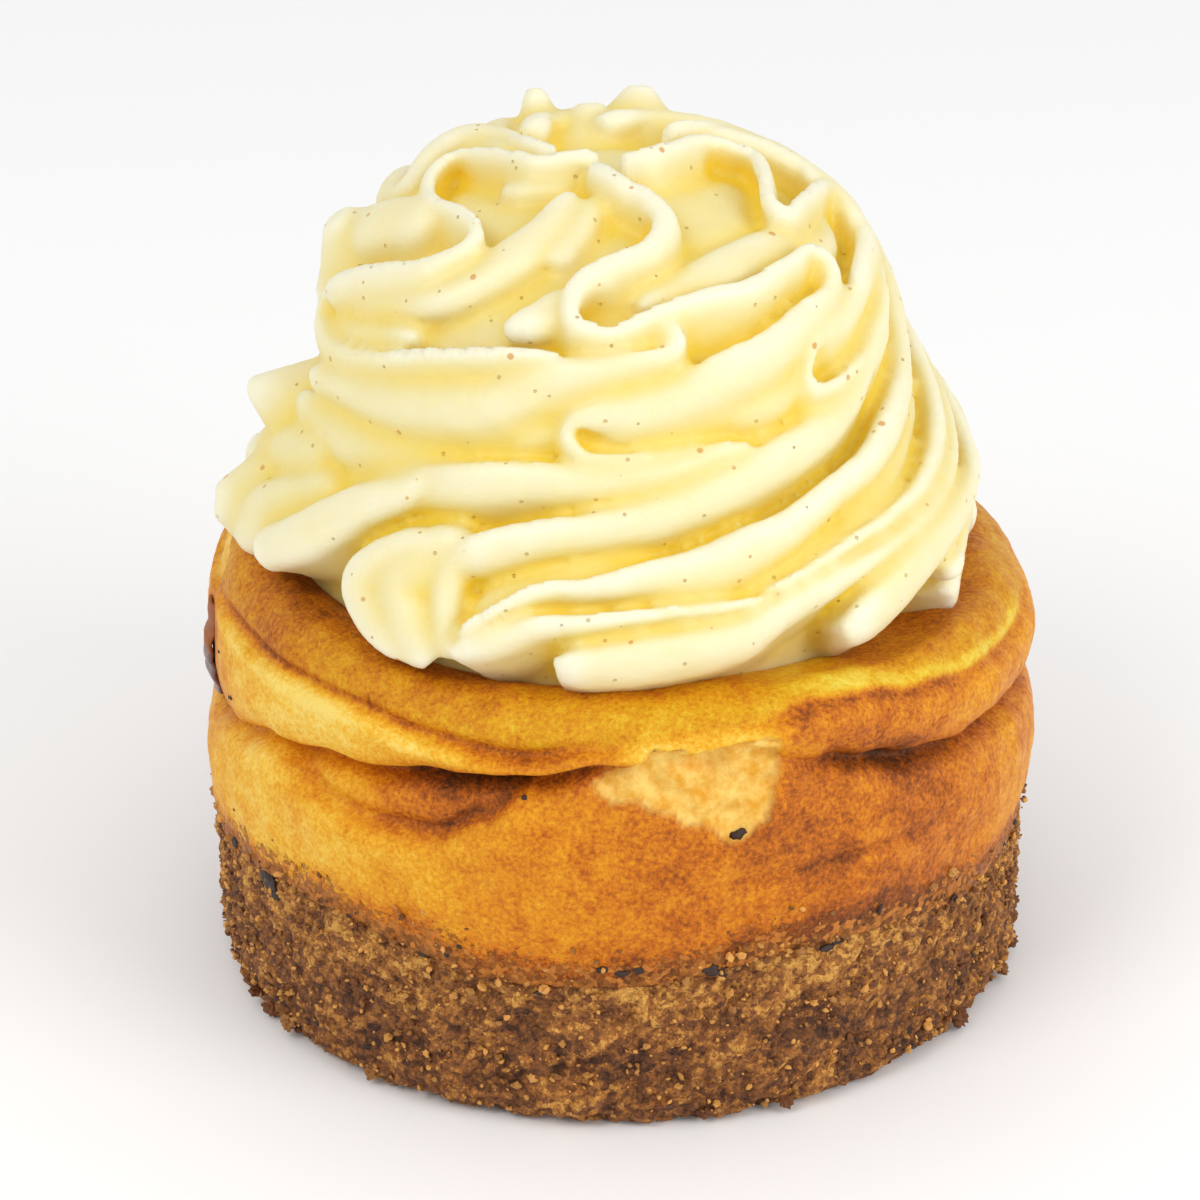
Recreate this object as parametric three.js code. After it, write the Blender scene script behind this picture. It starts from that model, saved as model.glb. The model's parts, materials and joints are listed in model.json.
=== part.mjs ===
// A single-serving baked cheesecake: a pressed crumb base, a baked filling with a rolled,
// puffed rim, and cream piped on top from a star nozzle in one rising swirl.
//
// Millimetres, +Z up. The origin is the centre of the flat underside. An azimuth is counted
// in degrees from the front (-Y), positive towards +X, so it grows anticlockwise from above.

import * as THREE from "three";

// ---------------------------------------------------------------- driving dimensions

const BELLY_RADIUS = 40; // the filling at its widest
const BASE_RADIUS = 39; // the crumb base, pressed in the same ring
const BASE_THICKNESS = 16.6;
const BASE_EDGE_ROUND = 2.2; // worn lower edge of the crumb base
const SEAM_WAVE = 1.2; // the crumb line rises and falls round the side
const SEAM_WAVES = 5;
const SEAM_CREST_AZIMUTH = 27;
const CRUMB_RELIEF = 0.28;

const RIM_HEIGHT = 42.9; // crest of the rolled rim, at the front
const RIM_TILT = 2.4; // it stands this much higher on the left and lower on the right
const RIM_RADIUS = 37.9;
const CREASE_HEIGHT = 30.6; // the fold under the rolled rim
const CREASE_LIFT = 3.7; // how much higher the fold runs at the front
const CREASE_DEPTH = 1.5;
const SUNK_TOP = 40.5; // the middle of the filling sank as it cooled
const SUNK_RADIUS = 29;

const TORN_PATCH = { azimuth: 9, height: 36, halfAngle: 9, halfHeight: 3.6, depth: 0.9 };
const CRUST_FLAKE = { azimuth: -86, height: 31.5, halfAngle: 5, halfHeight: 5, depth: -1.3 };

const MOUND_CENTRE = new THREE.Vector3(-1.4, 0, 44); // the cream sits a little to the left
const MOUND_PROFILE = [
  // radius and height of the swirl's outer reach, from its foot to its crown
  [35.0, 40],
  [36.3, 47],
  [35.2, 51.4],
  [32.9, 55.6],
  [30.4, 59.8],
  [27.7, 65],
  [26.7, 69],
  [25.3, 73],
  [22.8, 76],
  [18.5, 78.8],
  [12.0, 81.2],
  [6.0, 82.5],
  [0, 83],
];
const GROOVE_DEPTH = 5.2; // from a ridge to the floor of the groove beside it
const FLANK_SLOPE = 3.1; // a ridge's side drops this much for each millimetre outward
const CLIMB = 2.5; // a ridge swings this many degrees round for each degree that it climbs
const CROWN_ELEVATION = 76; // where the ridges run together
const FOOT_HALF_WIDTH = 2.7;
const CROWN_HALF_WIDTH = 1.3;
const HIDDEN_BY_FRONT = 264; // the back ridges dive under the front ones at this azimuth

const JOINT_GAP = 0.3; // clearance between two solids that rest on each other

const CAKE_SEGMENTS = 72;
const CREAM_SEGMENTS = 124; // columns of the cream's skin, which lean with the ridges
const CREAM_RINGS = 35;
const LEAN_ENDS = 52; // above this elevation the columns run straight in to the crown

// ------------------------------------------------------------------ ridges of the cream

// Each ridge is one fin of the star nozzle's rope. Its route lists azimuth, elevation seen
// from the mound's centre, and the half width of its rounded crest. A ridge that rises from
// the foot or runs on to the crown follows the common climb beyond its listed stations.
const RIDGES = [
  {
    name: "serpentine fold",
    route: [
      [-4, 82, 1.2], [19, 73, 1.4], [22, 67, 1.6], [10, 62, 1.5], [-4, 57, 1.3], [-2, 53, 1.1],
      [23, 57, 1], [54, 57, 0.9], [60, 54, 1.2], [36, 48, 1.9], [7, 45, 1.9], [-7, 41, 1.3],
      [-2, 37, 1], [26, 37, 0.8],
    ],
  },
  {
    name: "left cup fold",
    route: [[-90, 86, 0.9], [-88, 79, 0.9], [-100, 72, 0.9], [-90, 67, 1], [-52, 66, 1.2], [-33, 71, 1.2]],
  },
  {
    name: "left roll",
    route: [
      [-22, 75, 1.5], [-24, 66, 2.6], [-36, 58, 2.8], [-58, 51, 2], [-71, 47, 1.4],
      [-62, 44, 0.9], [-30, 48, 0.8], [-10, 50, 0.8],
    ],
  },
  {
    name: "upper left band",
    fromFoot: true,
    route: [[-79, 34, 2], [-61, 38, 2.1], [-30, 42, 2.6], [-5, 48, 1.4], [14, 50, 0.8], [16, 52, 0.8], [10, 54, 0.8]],
  },
  { name: "middle left petal", fromFoot: true, route: [[-65, 28, 3], [-35, 34, 2.6], [-12, 40, 2.2]] },
  { name: "lower left petal", fromFoot: true, route: [[-61, 14, 3.4], [-29, 28, 2.8], [-5, 32, 2.1], [29, 37, 0.9]] },
  {
    name: "front roll",
    toCrown: true,
    route: [[-40, 3, 3.4], [-30, 12, 3.6], [-11, 21, 2.4], [9, 26, 2.6], [41, 33, 2.6], [76, 43, 1.6]],
  },
  {
    name: "inner web",
    toCrown: true,
    route: [[-23, 6, 1], [-10, 14, 1], [5, 17, 1.8], [20, 19, 2.4], [42, 24, 1.6], [82, 36, 1.4]],
  },
  { name: "split edge", toCrown: true, route: [[25, 13, 0.9], [54, 17, 0.9], [82, 23, 1.4]] },
  { name: "front lip", route: [[-25, 3, 1.4], [-10, 10, 1.3], [7, 12, 0.9], [27, 13, 0.8]] },
  {
    name: "bottom flap",
    toCrown: true,
    route: [[-8, 3, 2.2], [11, 5, 2.4], [29, 10, 1.6], [51, 13, 1.1], [80, 17, 1.3]],
  },
  { name: "right flap", toCrown: true, route: [[38, 0, 2.4], [59, 8, 2.9], [88, 10, 2.3]] },
  { name: "torn fold", toCrown: true, route: [[46, 41, 0.9], [50, 46, 0.9], [69, 48, 1.1], [88, 48, 1.1]] },
  { name: "torn fold's lower edge", route: [[45, 40, 0.8], [64, 42, 0.8], [84, 45, 0.8]] },
  { name: "right shoulder", route: [[11, 40, 0.9], [32, 42, 2], [54, 47, 1.6], [75, 51, 1.9], [100, 53, 1.6], [114, 56, 1]] },
  { name: "upper right band", route: [[27, 61, 1.5], [41, 61, 2.2], [60, 62, 2], [80, 61, 1.3], [99, 58, 0.9]] },
  {
    name: "right cup fold",
    route: [[150, 85, 0.9], [90, 83, 0.9], [103, 76, 0.9], [105, 69, 1], [89, 67, 1], [74, 65, 1.1]],
  },
  { name: "far right band", route: [[145, 74, 1.2], [134, 63, 1.3], [120, 58, 1.5], [103, 59, 1.3]] },
  { name: "upper left petal", fromFoot: true, route: [[-104, 49, 2.2], [-83, 57, 2.6], [-66, 62, 2.6], [-48, 63, 1.9]] },
  { name: "top left petal", fromFoot: true, route: [[-122, 61, 2.2], [-115, 70, 2.2], [-108, 80, 1.2]] },
  { name: "loose scrap", route: [[82, 4, 2], [92, 2, 1.6]] },
  { name: "web under the lower bend", route: [[-24, 36, 1.6], [-9, 40, 2.6]] },
  { name: "web under the upper bend", route: [[-24, 50, 1.2], [-9, 56, 2.4]] },
  { name: "web under the left roll", route: [[-14, 60, 2.6], [-18, 76, 1.8]] },
];
const BACK_FEET = [72, 118, 162, 184, 222, 245]; // azimuths where the plain back ridges start

// Small points of cream that the nozzle pulled up round the crown.
const PEAKS = [
  { azimuth: -158, elevation: 65, radius: 2.8, height: 1 },
  { azimuth: -177, elevation: 74, radius: 2.4, height: 0.5 },
  { azimuth: 169, elevation: 66, radius: 3.2, height: 1.6 },
];

// ------------------------------------------------------------------------------ helpers

const radians = THREE.MathUtils.degToRad;
const degrees = THREE.MathUtils.radToDeg;

function turned(azimuth, radius, height) {
  const angle = radians(azimuth);
  return new THREE.Vector3(radius * Math.sin(angle), -radius * Math.cos(angle), height);
}

// A smooth dent (or, with a negative depth, a swelling) on the side of the cake.
function dent(spot, azimuth, height) {
  const across = (azimuth - spot.azimuth) / spot.halfAngle;
  const along = (height - spot.height) / spot.halfHeight;
  return spot.depth * Math.exp(-Math.pow(across, 4) - Math.pow(along, 4));
}

// Repeatable unevenness between -1 and 1 for the grains of the crumb base.
function grain(i, j) {
  const wave = Math.sin(i * 12.9898 + j * 78.233) * 43758.5453;
  return 2 * (wave - Math.floor(wave)) - 1;
}

// Closes rings of points, listed from the bottom up, between a lowest and a highest point.
function closedSkin(bottom, rings, top) {
  const count = rings[0].length;
  const points = [bottom, ...rings.flat(), top];
  const last = points.length - 1;
  const index = [];
  const at = (ring, i) => 1 + ring * count + (i % count);
  for (let i = 0; i < count; i += 1) {
    index.push(0, at(0, i + 1), at(0, i));
    for (let ring = 0; ring + 1 < rings.length; ring += 1) {
      const [a, b] = [at(ring, i), at(ring, i + 1)];
      const [c, d] = [at(ring + 1, i + 1), at(ring + 1, i)];
      // the shorter diagonal follows the ridges more closely
      if (points[a].distanceTo(points[c]) < points[b].distanceTo(points[d])) {
        index.push(a, b, c, a, c, d);
      } else {
        index.push(a, b, d, b, c, d);
      }
    }
    index.push(at(rings.length - 1, i), at(rings.length - 1, i + 1), last);
  }
  const geometry = new THREE.BufferGeometry().setFromPoints(points);
  geometry.setIndex(index);
  geometry.computeVertexNormals();
  return geometry;
}

// Rings from a profile of [radius, height] pairs that may change with the azimuth.
function profileRings(profileAt, segments) {
  const columns = [];
  for (let i = 0; i < segments; i += 1) {
    const azimuth = (360 * i) / segments - 180;
    columns.push(profileAt(azimuth, i).map(([r, z]) => turned(azimuth, r, z)));
  }
  return columns[0].map((_, ring) => columns.map((column) => column[ring]));
}

// --------------------------------------------------------------------- the crumb base

function seamHeight(azimuth, radius) {
  const wave = Math.cos(radians(SEAM_WAVES * (azimuth - SEAM_CREST_AZIMUTH)));
  return BASE_THICKNESS + SEAM_WAVE * wave * Math.pow(radius / BASE_RADIUS, 4);
}

function crumbBase() {
  const sideHeights = [0.3, 0.5, 0.7, 0.88];
  const rings = profileRings((azimuth, i) => {
    const seam = seamHeight(azimuth, BASE_RADIUS);
    const side = sideHeights.map((share, j) => [
      BASE_RADIUS + 0.1 + CRUMB_RELIEF * grain(i, j),
      seam * share,
    ]);
    return [
      [BASE_RADIUS - BASE_EDGE_ROUND, 0],
      [BASE_RADIUS - 0.3 * BASE_EDGE_ROUND + CRUMB_RELIEF * grain(i, 7), 0.3 * BASE_EDGE_ROUND],
      [BASE_RADIUS + CRUMB_RELIEF * grain(i, 8), BASE_EDGE_ROUND],
      ...side,
      [BASE_RADIUS - 0.2, seam],
      [0.85 * BASE_RADIUS, seamHeight(azimuth, 0.85 * BASE_RADIUS)],
      [0.5 * BASE_RADIUS, seamHeight(azimuth, 0.5 * BASE_RADIUS)],
    ];
  }, CAKE_SEGMENTS);
  const top = new THREE.Vector3(0, 0, BASE_THICKNESS);
  return closedSkin(new THREE.Vector3(0, 0, 0), rings, top);
}

// ------------------------------------------------------------------ the baked filling

function rimHeight(azimuth) {
  return RIM_HEIGHT - RIM_TILT * Math.sin(radians(azimuth));
}

function creaseHeight(azimuth) {
  return CREASE_HEIGHT + CREASE_LIFT * Math.cos(radians(azimuth));
}

// Height of the filling's upper face, which the cream rests on.
function topHeight(azimuth, radius) {
  if (radius <= SUNK_RADIUS) return SUNK_TOP;
  const across = THREE.MathUtils.smoothstep(radius, SUNK_RADIUS, RIM_RADIUS);
  return THREE.MathUtils.lerp(SUNK_TOP, rimHeight(azimuth), across);
}

function filling() {
  const rings = profileRings((azimuth) => {
    const floor = (radius) => seamHeight(azimuth, radius) + JOINT_GAP;
    const seam = floor(BASE_RADIUS);
    const crease = creaseHeight(azimuth);
    const rim = rimHeight(azimuth);
    const side = [
      [BASE_RADIUS + 0.3, seam + 1],
      [BELLY_RADIUS - 0.3, seam + 0.35 * (crease - seam)],
      [BELLY_RADIUS, seam + 0.62 * (crease - seam)],
      [BELLY_RADIUS - 0.5, crease - 1.9],
      [BELLY_RADIUS - 0.6 - CREASE_DEPTH, crease],
      [BELLY_RADIUS - 0.9, crease + 1.6],
      [BELLY_RADIUS - 0.4, crease + 0.45 * (rim - crease)],
      [BELLY_RADIUS - 0.7, crease + 0.72 * (rim - crease)],
      [BELLY_RADIUS - 1.4, rim - 0.9],
    ].map(([r, z]) => [r - dent(TORN_PATCH, azimuth, z) - dent(CRUST_FLAKE, azimuth, z), z]);
    const top = [RIM_RADIUS, 35.5, 33, 30.5, SUNK_RADIUS, 15].map((r) => [r, topHeight(azimuth, r)]);
    return [
      [0.5 * BASE_RADIUS, floor(0.5 * BASE_RADIUS)],
      [0.85 * BASE_RADIUS, floor(0.85 * BASE_RADIUS)],
      [BASE_RADIUS - 0.2, seam],
      ...side,
      ...top,
    ];
  }, CAKE_SEGMENTS);
  const bottom = new THREE.Vector3(0, 0, BASE_THICKNESS + JOINT_GAP);
  return closedSkin(bottom, rings, new THREE.Vector3(0, 0, SUNK_TOP));
}

// -------------------------------------------------------------------- the piped cream

// The mound as a distance from its centre for each elevation.
const MOUND = MOUND_PROFILE.map(([r, z]) => ({
  elevation: degrees(Math.atan2(z - MOUND_CENTRE.z, r)),
  reach: Math.hypot(r, z - MOUND_CENTRE.z),
}));

function moundReach(elevation) {
  const above = MOUND.findIndex((p) => p.elevation >= elevation);
  if (above <= 0) return above === 0 ? MOUND[0].reach : MOUND[MOUND.length - 1].reach;
  const [low, high] = [MOUND[above - 1], MOUND[above]];
  const share = (elevation - low.elevation) / (high.elevation - low.elevation);
  return THREE.MathUtils.lerp(low.reach, high.reach, share);
}

function direction(azimuth, elevation) {
  const level = Math.cos(radians(elevation));
  return turned(azimuth, level, Math.sin(radians(elevation)));
}

// The listed stations, carried down to the foot and up to the crown at the common climb.
function fullRoute({ route, fromFoot, toCrown }) {
  const stations = [...route];
  const step = 8;
  if (fromFoot) {
    const [azimuth, elevation] = route[0];
    for (let drop = step; elevation - drop > -step; drop += step) {
      stations.unshift([azimuth - CLIMB * drop, Math.max(elevation - drop, -1), FOOT_HALF_WIDTH]);
    }
  }
  if (toCrown) {
    const [azimuth, elevation, width] = route[route.length - 1];
    const climb = CROWN_ELEVATION - elevation;
    for (let rise = step; rise <= climb; rise += step) {
      const swell = width + 0.9 * Math.sin((Math.PI * rise) / climb);
      stations.push([azimuth + CLIMB * rise, elevation + rise, Math.max(swell, CROWN_HALF_WIDTH)]);
    }
  }
  return stations;
}

function backRidge(foot) {
  const highest = Math.min(CROWN_ELEVATION, (HIDDEN_BY_FRONT - foot) / CLIMB);
  const route = [];
  for (let share = 0; share <= 1; share += 0.2) {
    const elevation = THREE.MathUtils.lerp(-2, highest, share);
    const width = THREE.MathUtils.lerp(FOOT_HALF_WIDTH, CROWN_HALF_WIDTH + 0.3, share);
    route.push([foot + CLIMB * elevation, elevation, width]);
  }
  return { route };
}

// Points along a ridge's crest, about a millimetre apart, each with its direction from the
// mound's centre, its distance from there and the half width of the crest.
function crestPoints(ridge) {
  const stations = fullRoute(ridge);
  const crest = new THREE.CatmullRomCurve3(
    stations.map(([a, e]) => direction(a, e).multiplyScalar(moundReach(e))),
    false,
    "catmullrom",
  );
  const steps = Math.ceil(crest.getLength());
  const points = [];
  for (let i = 0; i <= steps; i += 1) {
    const span = (i / steps) * (stations.length - 1);
    const from = Math.min(Math.floor(span), stations.length - 2);
    const place = crest.getPoint(i / steps);
    const halfWidth = THREE.MathUtils.lerp(stations[from][2], stations[from + 1][2], span - from);
    const reach = place.length();
    points.push({ toward: place.divideScalar(reach), reach, halfWidth });
  }
  return points;
}

// How far below its crest a ridge's surface is at a sideways distance from it.
function ridgeDrop(sideways, halfWidth) {
  if (sideways < halfWidth) {
    return halfWidth - Math.sqrt(halfWidth * halfWidth - sideways * sideways);
  }
  return halfWidth + FLANK_SLOPE * (sideways - halfWidth);
}

function creamSurface() {
  const crests = [...RIDGES, ...BACK_FEET.map(backRidge)].flatMap(crestPoints);
  const peaks = PEAKS.map((peak) => ({ ...peak, toward: direction(peak.azimuth, peak.elevation) }));
  return (azimuth, elevation) => {
    const toward = direction(azimuth, elevation);
    const mound = moundReach(elevation);
    let reach = mound - GROOVE_DEPTH;
    for (const crest of crests) {
      const sideways = crest.reach * Math.acos(Math.min(1, toward.dot(crest.toward)));
      if (sideways > GROOVE_DEPTH) continue;
      reach = Math.max(reach, crest.reach - ridgeDrop(sideways, crest.halfWidth));
    }
    for (const peak of peaks) {
      const sideways = mound * Math.acos(Math.min(1, toward.dot(peak.toward)));
      const share = Math.max(0, 1 - sideways / peak.radius);
      reach = Math.max(reach, mound - GROOVE_DEPTH + (GROOVE_DEPTH + peak.height) * Math.sqrt(share));
    }
    return toward.multiplyScalar(reach).add(MOUND_CENTRE);
  };
}

// A point brought onto the filling's upper face, with the joint's clearance over it.
function restingOnTop(point) {
  const azimuth = degrees(Math.atan2(point.x, -point.y));
  const height = topHeight(azimuth, Math.hypot(point.x, point.y)) + JOINT_GAP;
  return new THREE.Vector3(point.x, point.y, height);
}

function pipedCream() {
  const surface = creamSurface();
  const lowest = 1;
  const highest = 89;
  const feet = Array.from({ length: CREAM_SEGMENTS }, (_, i) => (360 * i) / CREAM_SEGMENTS - 180);
  const rings = [];
  for (let ring = 0; ring < CREAM_RINGS; ring += 1) {
    const share = ring / (CREAM_RINGS - 1);
    const elevation = THREE.MathUtils.lerp(lowest, highest, Math.pow(share, 0.85));
    const lean = CLIMB * Math.min(elevation, LEAN_ENDS);
    rings.push(
      feet.map((foot) => {
        const point = surface(foot + lean, elevation);
        const rest = restingOnTop(point);
        return point.z < rest.z ? rest : point;
      }),
    );
  }
  const middle = new THREE.Vector3(MOUND_CENTRE.x, MOUND_CENTRE.y, 0);
  const foot = rings[0].map((point) => restingOnTop(point.clone().lerp(middle.clone().setZ(point.z), 0.04)));
  const under = [0.5, 0.84].map((share) =>
    foot.map((point) => restingOnTop(middle.clone().lerp(point, share))),
  );
  return closedSkin(restingOnTop(middle), [...under, foot, ...rings], surface(0, 90));
}

// -------------------------------------------------------------------------- the object

function piece(name, geometry, color, roughness) {
  const material = new THREE.MeshStandardMaterial({ color, roughness, metalness: 0 });
  const mesh = new THREE.Mesh(geometry, material);
  mesh.name = name;
  return mesh;
}

const cheesecake = new THREE.Group();
cheesecake.add(
  piece("crumb_base", crumbBase(), 0x7a4a20, 0.85),
  piece("baked_filling", filling(), 0xd98c2b, 0.55),
  piece("piped_cream", pipedCream(), 0xf6ecc0, 0.45),
);

export default cheesecake;
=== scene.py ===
# %% [markdown]
# # A single-serving cheesecake under a piped swirl
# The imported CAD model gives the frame: a crumb base, a baked filling and a mound of cream, in
# metres, +Z up, with the origin at the centre of the underside and -Y towards the viewer. This
# lesson puts a finished piece over each of those solids and lights them as a plain studio shot.
# All modelling below is done in millimetres, and each piece is scaled to metres at its end.

import json
import math
import random

import bmesh
import bpy
from mathutils import Matrix, Vector, noise
from mathutils.bvhtree import BVHTree

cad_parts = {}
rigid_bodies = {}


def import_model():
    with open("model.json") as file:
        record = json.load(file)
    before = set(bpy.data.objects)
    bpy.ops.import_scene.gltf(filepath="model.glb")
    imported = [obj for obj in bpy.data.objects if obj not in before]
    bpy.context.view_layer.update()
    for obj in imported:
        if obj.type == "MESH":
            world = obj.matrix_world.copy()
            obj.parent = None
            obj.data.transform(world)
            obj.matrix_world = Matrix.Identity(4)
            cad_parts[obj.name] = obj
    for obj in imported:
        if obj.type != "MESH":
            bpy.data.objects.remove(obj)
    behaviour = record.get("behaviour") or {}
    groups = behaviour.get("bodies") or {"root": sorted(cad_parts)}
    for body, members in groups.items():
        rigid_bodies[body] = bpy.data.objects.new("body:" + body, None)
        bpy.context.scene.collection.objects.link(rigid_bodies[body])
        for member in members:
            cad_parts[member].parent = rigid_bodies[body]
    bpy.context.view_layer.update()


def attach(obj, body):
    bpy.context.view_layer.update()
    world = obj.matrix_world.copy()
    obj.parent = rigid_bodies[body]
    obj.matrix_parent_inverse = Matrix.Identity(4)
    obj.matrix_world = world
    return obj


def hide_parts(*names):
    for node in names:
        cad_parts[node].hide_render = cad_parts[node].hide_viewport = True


for leftover in list(bpy.data.objects):
    bpy.data.objects.remove(leftover)
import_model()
MM = 0.001

# %% [markdown]
# ## Camera
# A long lens, well back and 27.5 degrees above the table, sees the cake as the photograph does:
# the ellipses of the rim and the base are almost alike, so the perspective is weak. The camera
# comes first, because every later choice of form and colour is judged through it.

# %% The camera
CAMERA_PLACE = Vector((-1.9, -429.6, 259.0)) * MM
CAMERA_TARGET = Vector((-1.9, 0.0, 35.3)) * MM


def aim(thing, place, target):
    """Stands an object at a place and points its -Z at a target."""
    thing.location = place
    thing.rotation_euler = (target - place).to_track_quat("-Z", "Y").to_euler()


lens = bpy.data.cameras.new("lens")
lens.lens = 150.9
lens.sensor_width = 36
lens.clip_start = 0.01
camera = bpy.data.objects.new("camera", lens)
bpy.context.scene.collection.objects.link(camera)
aim(camera, CAMERA_PLACE, CAMERA_TARGET)
bpy.context.scene.camera = camera
print("camera stands", round((CAMERA_PLACE - CAMERA_TARGET).length, 3), "m from its target")

# %% [markdown]
# ## A few helpers
# Places on the cake are easiest to say as an azimuth (degrees from the front, positive to the
# right) with a radius and a height. Sizes that change round the cake are listed at a few azimuths
# and eased in between, so one short list describes a whole uneven rim.

# %% Directions, easing and noise
def turned(azimuth, radius, height):
    """The point at this azimuth, radius and height."""
    angle = math.radians(azimuth)
    return Vector((radius * math.sin(angle), -radius * math.cos(angle), height))


def azimuth_of(point):
    """Degrees from the front, positive to the right."""
    return math.degrees(math.atan2(point.x, -point.y))


def radius_of(point):
    return math.hypot(point.x, point.y)


def ease(share):
    """Starts and stops gently between 0 and 1."""
    share = min(1.0, max(0.0, share))
    return share * share * (3 - 2 * share)


def lerp(a, b, share):
    return a + (b - a) * share


def ramp(low, high, value):
    """0 below low, 1 above high, eased in between."""
    return ease((value - low) / (high - low))


def round_the_cake(anchors, azimuth):
    """Reads a list of (azimuth, value) that closes on itself round the cake."""
    ring = anchors + [(anchors[0][0] + 360, anchors[0][1])]
    if azimuth < ring[0][0]:
        azimuth += 360
    for (a, low), (b, high) in zip(ring, ring[1:]):
        if a <= azimuth <= b:
            return lerp(low, high, ease((azimuth - a) / (b - a)))
    return ring[-1][1]


def swell(offset, width):
    """A smooth hump of height 1, as wide as this to each side."""
    return math.exp(-((offset / width) ** 2))


def lumps(point, size, seed=0.0):
    """Smooth noise between -1 and 1 whose lumps are about this many millimetres."""
    return noise.noise(point / size + Vector((seed, 1.7 * seed, 2.3 * seed)))


# %% [markdown]
# A piece is finished the same way each time: its bmesh is scaled to metres, written to a mesh with
# smooth shading, given a material and tied to the body of the frame, and the CAD solid it stands
# for is hidden. Extra numbers that belong to the vertices, such as how deep a spot lies in a
# groove, are kept as attributes for the material to read.

# %% Finishing a piece
def solid_piece(name, shape, material, stands_for=None, values=None, flat=False):
    """Makes the object for a bmesh modelled in millimetres."""
    bmesh.ops.scale(shape, vec=(MM, MM, MM), verts=shape.verts)
    mesh = bpy.data.meshes.new(name)
    shape.to_mesh(mesh)
    shape.free()
    for label, numbers in (values or {}).items():
        mesh.attributes.new(label, "FLOAT", "POINT").data.foreach_set("value", numbers)
    mesh.polygons.foreach_set("use_smooth", [not flat] * len(mesh.polygons))
    mesh.materials.append(material)
    piece = bpy.data.objects.new(name, mesh)
    bpy.context.scene.collection.objects.link(piece)
    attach(piece, "root")
    if stands_for:
        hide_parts(stands_for)
    mesh.calc_loop_triangles()
    print(f"{name}: {len(mesh.vertices)} vertices, {len(mesh.loop_triangles)} triangles")
    return piece


def spun(profile, steps):
    """Spins a profile of (radius, height) pairs, which starts and ends on the axis. An eighth of
    the turn is spun, and three doublings close the circle, which is far quicker in fine steps."""
    shape = bmesh.new()
    line = [shape.verts.new((0, -radius, height)) for radius, height in profile]
    edges = [shape.edges.new(pair) for pair in zip(line, line[1:])]
    angle = math.tau / 8
    bmesh.ops.spin(
        shape, geom=line + edges, cent=(0, 0, 0), axis=(0, 0, 1), angle=angle, steps=steps // 8,
    )
    for _ in range(3):
        copy = bmesh.ops.duplicate(shape, geom=shape.verts[:] + shape.edges[:] + shape.faces[:])
        moved = [g for g in copy["geom"] if isinstance(g, bmesh.types.BMVert)]
        bmesh.ops.rotate(shape, cent=(0, 0, 0), matrix=Matrix.Rotation(angle, 3, "Z"), verts=moved)
        angle *= 2
    bmesh.ops.remove_doubles(shape, verts=shape.verts, dist=0.001)
    bmesh.ops.recalc_face_normals(shape, faces=shape.faces)
    return shape


def through(a, b, c, d, share):
    """A point between b and c on the smooth curve that passes through a, b, c and d."""
    return 0.5 * (
        2 * b + (c - a) * share
        + (2 * a - 5 * b + 4 * c - d) * share**2
        + (3 * b - a - 3 * c + d) * share**3
    )


def finely(stations, spacing, fewest=1):
    """Adds stations on a smooth curve through the ones given, so that none are further apart
    than the spacing. A number after the place, such as a width, is eased along with it."""
    points = [Vector(station) for station in stations]
    points = [2 * points[0] - points[1]] + points + [2 * points[-1] - points[-2]]
    fine = []
    for a, b, c, d in zip(points, points[1:], points[2:], points[3:]):
        count = max(fewest, math.ceil((c - b).to_3d().length / spacing))
        fine += [through(a, b, c, d, i / count) for i in range(count)]
    return fine + [points[-2]]


# %% [markdown]
# ## Writing materials as sums
# A material here is mostly arithmetic on noise. Wrapping each socket in a small class lets that
# arithmetic be written as Python expressions, and every other node comes from one method.

# %% The material writer
class Wire:
    """A socket that can be added, subtracted and multiplied."""

    def __init__(self, finish, socket):
        self.finish, self.socket = finish, socket

    def maths(self, operation, first, second):
        made = self.finish.node("ShaderNodeMath", {"operation": operation}, {0: first, 1: second})
        return Wire(self.finish, made.outputs[0])

    def __add__(self, other):
        return self.maths("ADD", self, other)

    def __sub__(self, other):
        return self.maths("SUBTRACT", self, other)

    def __rsub__(self, other):
        return self.maths("SUBTRACT", other, self)

    def __mul__(self, other):
        return self.maths("MULTIPLY", self, other)

    __radd__, __rmul__ = __add__, __mul__


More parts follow.
